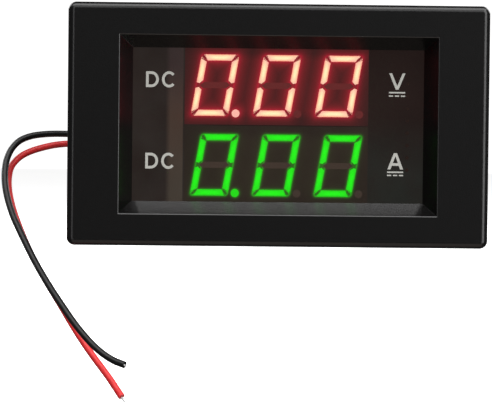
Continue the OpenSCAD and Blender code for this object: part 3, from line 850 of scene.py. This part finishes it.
HW, HH, TAN = 3.85, 6.25, math.tan(math.radians(10))
MX, ROW, PITCH = -0.25, 8.1, 12.6
DPX, DPZ, DPR = 4.24, -5.7, 0.8
SEG_A = [(-HW + 0.36, HH), (HW - 0.36, HH), (HW - 1.34, HH - 1.23), (-HW + 1.34, HH - 1.23)]
SEG_F = [(-HW + 0.14, HH - 0.4), (-HW + 1.28, HH - 1.44), (-HW + 1.28, 0.98), (-HW + 0.6, 0.36), (-HW, 0.5), (-HW, HH - 0.56)]
SEG_G = [(-HW + 0.8, 0), (-HW + 1.45, 0.62), (HW - 1.45, 0.62), (HW - 0.8, 0), (HW - 1.45, -0.62), (-HW + 1.45, -0.62)]


def flip_x(p):
    return [(-x, z) for x, z in p[::-1]]


def flip_z(p):
    return [(x, -z) for x, z in p[::-1]]


SEGMENTS = [SEG_A, flip_x(SEG_F), flip_x(flip_z(SEG_F)), flip_z(SEG_A), flip_z(SEG_F), SEG_F, SEG_G]


def rounded_outline(poly, r, n=4):
    """The outline with its corners rounded."""
    out = []
    m = len(poly)
    for i in range(m):
        p0, p, p1 = Vector(poly[i - 1]), Vector(poly[i]), Vector(poly[(i + 1) % m])
        a, b = (p0 - p), (p1 - p)
        la, lb = a.length, b.length
        a, b = a / la, b / lb
        ang = a.angle(b)
        d = min(r / math.tan(ang / 2), la * 0.42, lb * 0.42)
        q0, q1 = p + a * d, p + b * d
        for k in range(n + 1):
            t = k / n
            out.append(tuple((1 - t) ** 2 * q0 + 2 * t * (1 - t) * p + t * t * q1))
    return out


def pillow(name, poly, y0, y1, edge=0.06):
    """A potted segment: a prism whose front edge is slightly rounded."""
    if area2(poly) < 0:
        poly = poly[::-1]
    n = len(poly)
    cx = sum(p[0] for p in poly) / n
    cz = sum(p[1] for p in poly) / n

    def inset(d):
        out = []
        for i in range(n):
            a, p, b = Vector(poly[i - 1]), Vector(poly[i]), Vector(poly[(i + 1) % n])
            t = (b - a).normalized()
            out.append((p.x - (-t.y) * -d, p.y - t.x * -d) if False else (p.x + (-t.y) * d, p.y + t.x * d))
        return out

    r0, r1 = poly, inset(edge * 0.5)
    r2 = inset(edge)
    v = [(x, y1, z) for x, z in r0] + [(x, y0 + edge, z) for x, z in r0] + [(x, y0 + edge * 0.3, z) for x, z in r1] + [(x, y0, z) for x, z in r2]
    f = []
    for j in range(3):
        f += [(j * n + k, j * n + (k + 1) % n, (j + 1) * n + (k + 1) % n, (j + 1) * n + k) for k in range(n)]
    f.append(tuple(range(n - 1, -1, -1)))
    f.append(tuple(range(3 * n, 4 * n)))
    return mesh_of(name, v, f)


def digits(name, z0, lit, mat):
    parts = []
    for d in (-1, 0, 1):
        cx = MX + d * PITCH
        for i, s in enumerate(SEGMENTS):
            if (i < 6) == lit:
                parts.append(pillow("seg", rounded_outline([(cx + x + z * TAN, z0 + z) for x, z in s], 0.13), 1.0, 2.2))
        if (d == -1) == lit:
            parts.append(pillow("dp", [(cx + DPX + DPR * math.cos(2 * math.pi * k / 32), z0 + DPZ + DPR * math.sin(2 * math.pi * k / 32)) for k in range(32)], 1.0, 2.2))
    o = link(name, joined(name, parts), mat)
    tidy(o, 30, weighted=False)
    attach(o, "meter")
    return o


def stroke_distance(g, z0):
    """In mm: how far a point of the display's face is from the strokes of the lit zeros and point. Below 0 inside them."""
    x, _, z = g.xyz()
    x, z = g.math("MULTIPLY", x, 1000), g.math("MULTIPLY", z, 1000)
    v = g.math("SUBTRACT", z, z0)
    u0 = g.math("SUBTRACT", g.math("SUBTRACT", x, MX), g.math("MULTIPLY", v, TAN))
    k = g.math("ROUND", g.math("DIVIDE", u0, PITCH))
    k = g.math("MAXIMUM", g.math("MINIMUM", k, 1.0), -1.0)
    u = g.math("SUBTRACT", u0, g.math("MULTIPLY", k, PITCH))
    qx = g.math("SUBTRACT", g.math("ABSOLUTE", u), HW - 0.64)
    qz = g.math("SUBTRACT", g.math("ABSOLUTE", v), HH - 0.625)
    ox, oz = g.math("MAXIMUM", qx, 0.0), g.math("MAXIMUM", qz, 0.0)
    out = g.math("SQRT", g.math("ADD", g.math("MULTIPLY", ox, ox), g.math("MULTIPLY", oz, oz)))
    d = g.math("ADD", out, g.math("MINIMUM", g.math("MAXIMUM", qx, qz), 0.0))
    ring = g.math("SUBTRACT", g.math("ABSOLUTE", d), 0.63)
    px = g.math("SUBTRACT", x, MX - PITCH + DPX)
    pz = g.math("SUBTRACT", z, z0 + DPZ)
    dot = g.math("SUBTRACT", g.math("SQRT", g.math("ADD", g.math("MULTIPLY", px, px), g.math("MULTIPLY", pz, pz))), DPR)
    return g.math("MINIMUM", ring, dot), d, dot, u, v


def fall(g, d, reach):
    """1 at the strokes, dying away over reach mm."""
    return g.math("EXPONENT", g.math("MULTIPLY", g.math("MAXIMUM", d, 0.0), -1.0 / reach))


# painted light: the module's face glows round the lit strokes, falling away from them, more strongly over the digits,
# and evenly all over
def shell(name, z0, near, mid, far, base, ambient):
    g = Graph(name)
    d, box, dot, u, v = stroke_distance(g, z0)
    n = g.noise(350, 3, 0.6)
    gap = g.span(d, -0.3, 0.02, 0.35, 1.0)
    across = g.math("ABSOLUTE", g.math("SUBTRACT", g.math("SUBTRACT", g.math("MULTIPLY", g.xyz()[0], 1000), MX), g.math("MULTIPLY", v, TAN)))
    within = g.math("MULTIPLY", g.span(g.math("ABSOLUTE", v), HH - 1.2, HH + 0.3, 1.0, 0.0), g.span(across, PITCH + HW - 1.2, PITCH + HW + 0.3, 1.0, 0.0))
    twice = g.math("ADD", within, 1.0)
    g.set(
        Base_Color=g.mix(g.span(n, 0.3, 0.7), tuple(c * 0.8 for c in base), tuple(c * 1.15 for c in base)),
        Roughness=g.span(g.noise(1800, 2), 0.3, 0.7, 0.42, 0.55),
        Emission_Color=sum_colours(g, (g.math("MULTIPLY", gap, fall(g, d, near[0])), near[1]), (g.math("MULTIPLY", gap, fall(g, d, mid[0])), mid[1]), (g.math("MULTIPLY", twice, fall(g, d, far[0])), far[1]), (g.span(n, 0.2, 0.8, 0.85, 1.15), ambient)),
        Emission_Strength=1.0,
    )
    g.bump(g.noise(5000, 2), 0.15, 0.00002)
    return g.mat


def behind(r, g, b):
    """Linear light in front of the lens, as it has to be behind it."""
    return (r / LENS_T, g / LENS_T, b / LENS_T)


red_shell = shell(
    "module_face_red_lit", ROW,
    (0.2, behind(0.06, 0.0, 0.004)),
    (0.48, behind(0.19, 0.0, 0.010)),
    (2.3, behind(0.086, 0.0025, 0.0045)),
    (0.035, 0.022, 0.020), behind(0.001, 0.002, 0.002),
)
green_shell = shell(
    "module_face_green_lit", -ROW,
    (0.14, behind(0.0, 0.30, 0.0)),
    (0.5, behind(0.0, 0.01, 0.0)),
    (5.0, behind(0.0035, 0.0045, 0.0013)),
    (0.04, 0.033, 0.028), behind(0.004, 0.004, 0.003),
)


def lit(name, z0, core, middle, edge, tip, streak, point):
    g = Graph(name)
    d, box, dot, u, v = stroke_distance(g, z0)
    # ends of the strokes, by how near a corner or the waist is
    au, av = g.math("ABSOLUTE", u), g.math("ABSOLUTE", v)
    mitre = g.math("ABSOLUTE", g.math("SUBTRACT", g.math("SUBTRACT", HW, au), g.math("SUBTRACT", HH, av)))
    tipness = g.span(g.math("MINIMUM", mitre, av), 0.3, 2.1, 1.0, 0.0)
    body = g.ramp(g.span(d, -0.62, 0.02), (0.0, core), (0.5, middle), (0.97, edge))
    grain = g.span(g.noise(1500, 3, 0.6), 0.3, 0.7)
    col = g.mix(g.math("MULTIPLY", tipness, 0.85), body, tip)
    col = g.mix(g.math("MULTIPLY", grain, 0.25), col, streak)
    col = g.mix(g.span(dot, -0.02, 0.05, 1.0, 0.0), col, point)
    g.set(Base_Color=(0.05, 0.05, 0.05), Roughness=0.3, Emission_Color=col, Emission_Strength=1.0)
    g.bump(g.noise(1800, 2), 0.1, 0.00003)
    return g.mat


def unlit(name, base, glow):
    g = Graph(name)
    n = g.noise(1200, 3, 0.6)
    g.set(Base_Color=g.mix(g.span(n, 0.3, 0.7), tuple(c * 0.75 for c in base), base), Roughness=0.35, Emission_Color=glow, Emission_Strength=1.0)
    g.bump(g.noise(2600, 2), 0.2, 0.00003)
    return g.mat


MAT_RED_ON = lit(
    "segment_red_on", ROW,
    lens_up(lin(254, 242, 190), 1.02), lens_up(lin(255, 216, 172), 1.05), lens_up(lin(250, 128, 112), 1.0),
    lens_up(lin(255, 170, 160), 1.0), lens_up(lin(255, 236, 178), 1.0), lens_up(lin(253, 182, 168), 1.0),
)
MAT_GREEN_ON = lit(
    "segment_green_on", -ROW,
    lens_up(lin(2, 244, 6), 1.0), lens_up(lin(0, 236, 4), 1.0), lens_up(lin(0, 178, 0), 1.0),
    lens_up(lin(8, 214, 8), 1.0), lens_up(lin(60, 248, 50), 1.0), lens_up(lin(8, 218, 10), 1.0),
)
# painted glow: the unlit segments give off a faint light of their own
MAT_RED_OFF = unlit("segment_red_off", (0.09, 0.055, 0.05), behind(0.108, 0.0115, 0.0125))
MAT_GREEN_OFF = unlit("segment_green_off", (0.11, 0.09, 0.08), behind(0.031, 0.023, 0.016))

red_on = digits("red_segments_lit", ROW, True, MAT_RED_ON)
red_off = digits("red_segments_unlit", ROW, False, MAT_RED_OFF)
green_on = digits("green_segments_lit", -ROW, True, MAT_GREEN_ON)
green_off = digits("green_segments_unlit", -ROW, False, MAT_GREEN_OFF)
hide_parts("red_segments")
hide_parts("red_segments")
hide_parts("green_segments")
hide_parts("green_segments")
# the moulded walls are too dull to mirror the digits
red_on.visible_glossy = green_on.visible_glossy = False
paint(nodes["red_display_shell"], red_shell)
paint(nodes["green_display_shell"], green_shell)


# ------------------------------------------------------------------ boards and what is on them


def simple(name, base, dark, rough, metallic=0.0, scale=1500, bump=0.15, depth=0.00003, spec=0.5, stretch=None, emit=None):
    g = Graph(name)
    vec = g.stretch(*stretch) if stretch else None
    n = g.noise(scale, 3, 0.6, vec)
    g.set(
        Base_Color=g.mix(g.span(n, 0.3, 0.7), dark, base),
        Roughness=g.span(g.noise(scale * 1.7, 2, 0.5, vec), 0.3, 0.7, max(rough - 0.06, 0.03), rough + 0.08),
        Metallic=metallic,
    )
    g.bsdf.inputs["Specular IOR Level"].default_value = spec
    g.bump(g.noise(scale * 2, 2, 0.5, vec), bump, depth)
    return g.mat


def board_mat():
    g = Graph("solder_mask_green")
    x, y, z = g.xyz()
    weave = g.math("MULTIPLY", g.math("SINE", g.math("MULTIPLY", x, 9000)), g.math("SINE", g.math("MULTIPLY", z, 9000)))
    n = g.noise(260, 3, 0.5)
    tracks = g.span(g.cells(330, "DISTANCE_TO_EDGE", 0.75), 0.02, 0.05)
    col = g.mix(tracks, (0.030, 0.105, 0.045), (0.012, 0.062, 0.028))
    col = g.mix(g.math("MULTIPLY", g.span(n, 0.3, 0.7), 0.4), col, (0.02, 0.075, 0.04))
    # the pale margin of the adhesive beside the modules, with the light that leaks on it
    mm_x, mm_z = g.math("MULTIPLY", x, 1000), g.math("MULTIPLY", z, 1000)
    strip = g.math("MULTIPLY", g.span(mm_x, -22.9, -21.9), g.span(mm_x, -19.4, -19.2, 1.0, 0.0))
    front = g.span(y, 0.0083, 0.0085, 1.0, 0.0)
    strip = g.math("MULTIPLY", strip, front)
    col = g.mix(strip, col, (0.30, 0.235, 0.16))
    low = g.span(mm_z, 12.0, 2.0)
    lowest = g.span(mm_z, -4.0, -14.0)
    board_glow_mottle = g.noise(120, 2, 0.5)
    # painted glow on the board at the left and the lower right, mottled at random
    left = g.math("MULTIPLY", front, g.span(mm_x, -14.0, -16.0))
    lower_right = g.math("MULTIPLY", g.math("MULTIPLY", front, g.span(mm_x, 14.0, 16.0)), g.span(mm_z, 2.0, -9.0))
    glow = sum_colours(
        g,
        (strip, behind(0.011, 0.007, 0.008)),
        (g.math("MULTIPLY", strip, low), behind(0.020, 0.0135, 0.006)),
        (g.math("MULTIPLY", strip, lowest), behind(-0.006, 0.001, 0.001)),
        (g.math("MULTIPLY", left, g.span(board_glow_mottle, 0.3, 0.7, 0.5, 1.5)), behind(0.0055, 0.0065, 0.0058)),
        (g.math("MULTIPLY", lower_right, g.span(board_glow_mottle, 0.3, 0.7, 0.6, 1.4)), behind(0.001, 0.0065, 0.0055)),
    )
    g.set(Base_Color=col, Roughness=0.32, Emission_Color=glow, Emission_Strength=1.0)
    g.bump(g.math("ADD", weave, g.math("MULTIPLY", tracks, 2.0)), 0.15, 0.00002)
    return g.mat


MAT_BOARD = board_mat()
MAT_CHIP = simple("moulded_epoxy", (0.022, 0.022, 0.022), (0.012, 0.012, 0.012), 0.6, scale=4000, bump=0.35)
MAT_CAN = simple("crystal_can", (0.72, 0.72, 0.70), (0.6, 0.6, 0.58), 0.28, 1.0, scale=3000)
MAT_CERAMIC = simple("chip_ceramic", (0.38, 0.30, 0.22), (0.28, 0.22, 0.16), 0.5)
MAT_ZINC = simple("zinc_plate", (0.62, 0.63, 0.64), (0.45, 0.46, 0.47), 0.3, 1.0, scale=2600, bump=0.25)
MAT_GOLD = simple("gold_plate", (0.83, 0.62, 0.25), (0.7, 0.5, 0.18), 0.25, 1.0)
MAT_NICKEL = simple("nickel_plate", (0.66, 0.64, 0.58), (0.48, 0.46, 0.42), 0.26, 1.0, scale=3000, bump=0.3)
MAT_SLEEVE = simple("capacitor_sleeve", (0.03, 0.035, 0.05), (0.02, 0.024, 0.036), 0.3)
MAT_SHUNT = simple("shunt_alloy", (0.55, 0.40, 0.28), (0.42, 0.3, 0.2), 0.35, 1.0)
MAT_BLUE = simple("trimmer_blue", (0.02, 0.10, 0.36), (0.012, 0.07, 0.27), 0.35)
MAT_NYLON = simple("nylon_white", (0.72, 0.70, 0.64), (0.62, 0.6, 0.54), 0.45)
MAT_GREEN = simple("terminal_green", (0.020, 0.215, 0.075), (0.014, 0.165, 0.055), 0.4, scale=2200, bump=0.25)
MAT_SHELL_DARK = simple("module_shell_side", (0.03, 0.03, 0.03), (0.02, 0.02, 0.02), 0.5)

WEAR = {
    "display_pins": MAT_TIN, "display_board": MAT_BOARD, "microcontroller": MAT_CHIP, "display_driver": MAT_CHIP,
    "clock_crystal": MAT_CAN, "chip_resistors": MAT_CERAMIC, "chip_capacitors": MAT_CERAMIC, "board_screws": MAT_ZINC,
    "header_strip": MAT_CHIP, "header_pins": MAT_GOLD, "power_board": MAT_BOARD, "voltage_regulator": MAT_CHIP,
    "amplifier_chip": MAT_CHIP, "input_diode": MAT_CHIP, "electrolytic_capacitors": MAT_SLEEVE, "current_shunt": MAT_SHUNT,
    "volt_trimmer_body": MAT_BLUE, "volt_trimmer_rotor": MAT_NYLON, "amp_trimmer_body": MAT_BLUE, "amp_trimmer_rotor": MAT_NYLON,
    "trimmer_pins": MAT_TIN, "terminal_block": MAT_GREEN, "terminal_bars": MAT_TIN,
    "terminal_screw_1": MAT_NICKEL, "terminal_screw_2": MAT_NICKEL, "terminal_screw_3": MAT_NICKEL,
    "terminal_cage_1": MAT_ZINC, "terminal_cage_2": MAT_ZINC, "terminal_cage_3": MAT_ZINC,
    "supply_socket": MAT_NYLON, "supply_socket_pins": MAT_TIN, "supply_plug": MAT_NYLON, "supply_plug_contacts": MAT_TIN,
    "rear_cover": MAT_CASE, "case_screws": MAT_ZINC,
}
for name, m in WEAR.items():
    paint(nodes[name], m)
for name, width in (
    ("rear_cover", 0.18), ("terminal_block", 0.14), ("case_screws", 0.1),
    ("terminal_screw_1", 0.08), ("terminal_screw_2", 0.08), ("terminal_screw_3", 0.08),
    ("terminal_cage_1", 0.1), ("terminal_cage_2", 0.1), ("terminal_cage_3", 0.1),
):
    soften(nodes[name], width)


# ------------------------------------------------------------------ studio


def plain(name, colour, emit=0.0, rough=0.9):
    m = bpy.data.materials.new(name)
    m.use_nodes = True
    b = m.node_tree.nodes["Principled BSDF"]
    b.inputs["Base Color"].default_value = (*colour, 1)
    b.inputs["Roughness"].default_value = rough
    b.inputs["Specular IOR Level"].default_value = 0.0
    if emit:
        b.inputs["Emission Color"].default_value = (*colour, 1)
        b.inputs["Emission Strength"].default_value = emit
    return m


def only_seen(o):
    """Seen by the camera, but in no reflection, and it lights nothing."""
    o.visible_diffuse = o.visible_glossy = o.visible_transmission = o.visible_shadow = o.visible_volume_scatter = False


# a pale dome far away, and a pale floor
bm = bmesh.new()
bmesh.ops.create_icosphere(bm, subdivisions=4, radius=4.0)
me = bpy.data.meshes.new("backdrop")
bm.to_mesh(me)
bm.free()
dome = link("backdrop", me, plain("backdrop_white", (1.0, 1.0, 1.0), 1.0))
only_seen(dome)
floor_mat = plain("floor_pale", (0.92, 0.92, 0.92), 0.95)
nt = floor_mat.node_tree
side = nt.nodes.new("ShaderNodeNewGeometry").outputs["Backfacing"]
clear = nt.nodes.new("ShaderNodeBsdfTransparent")
either = nt.nodes.new("ShaderNodeMixShader")
nt.links.new(side, either.inputs[0])
nt.links.new(nt.nodes["Principled BSDF"].outputs[0], either.inputs[1])
nt.links.new(clear.outputs[0], either.inputs[2])
nt.links.new(either.outputs[0], nt.nodes["Material Output"].inputs[0])
floor = link(
    "floor",
    mesh_of("floor", [(-3000, -3000, -60), (3000, -3000, -60), (3000, 3000, -60), (-3000, 3000, -60)], [(0, 1, 2, 3)]),
    floor_mat,
)
only_seen(floor)


def softbox(name, at, aim, w, h, radiance, colour=(1, 1, 1)):
    d = bpy.data.lights.new(name, "AREA")
    d.shape = "RECTANGLE"
    d.size, d.size_y = w, h
    d.energy = radiance * math.pi * w * h
    d.color = colour
    o = bpy.data.objects.new(name, d)
    scene.collection.objects.link(o)
    o.location = at
    o.rotation_mode = "QUATERNION"
    o.rotation_quaternion = (Vector(aim) - Vector(at)).to_track_quat("-Z", "Y")
    return o


def at(azimuth, elevation, r):
    """A place round the part: azimuth 0 is in front, 90 to the right."""
    a, e = math.radians(azimuth), math.radians(elevation)
    return (r * math.sin(a) * math.cos(e), -r * math.cos(a) * math.cos(e), r * math.sin(e))


O = (0, 0, 0)
softbox("top", at(0, 68, 1.0), O, 1.75, 0.66, 4.1)
softbox("top_front", at(0, 32, 1.2), O, 1.2, 0.5, 1.6)
softbox("right", at(38, 12, 1.1), O, 0.62, 1.3, 3.4)
softbox("left", at(-24, 0, 1.1), O, 0.26, 0.9, 1.5)
softbox("below", at(0, -55, 1.0), O, 1.2, 1.0, 0.5, (1.0, 0.86, 0.76))
softbox("rear_right", at(135, 28, 1.2), O, 0.8, 0.8, 4.2)
softbox("rear_left", at(-135, 28, 1.2), O, 0.8, 0.8, 4.2)
softbox("rear_low", at(180, -35, 1.2), O, 1.0, 0.6, 1.4)

world = bpy.data.worlds.new("world")
scene.world = world
world.use_nodes = True
world.node_tree.nodes["Background"].inputs[0].default_value = (1.0, 0.97, 0.95, 1)
world.node_tree.nodes["Background"].inputs[1].default_value = 0.045
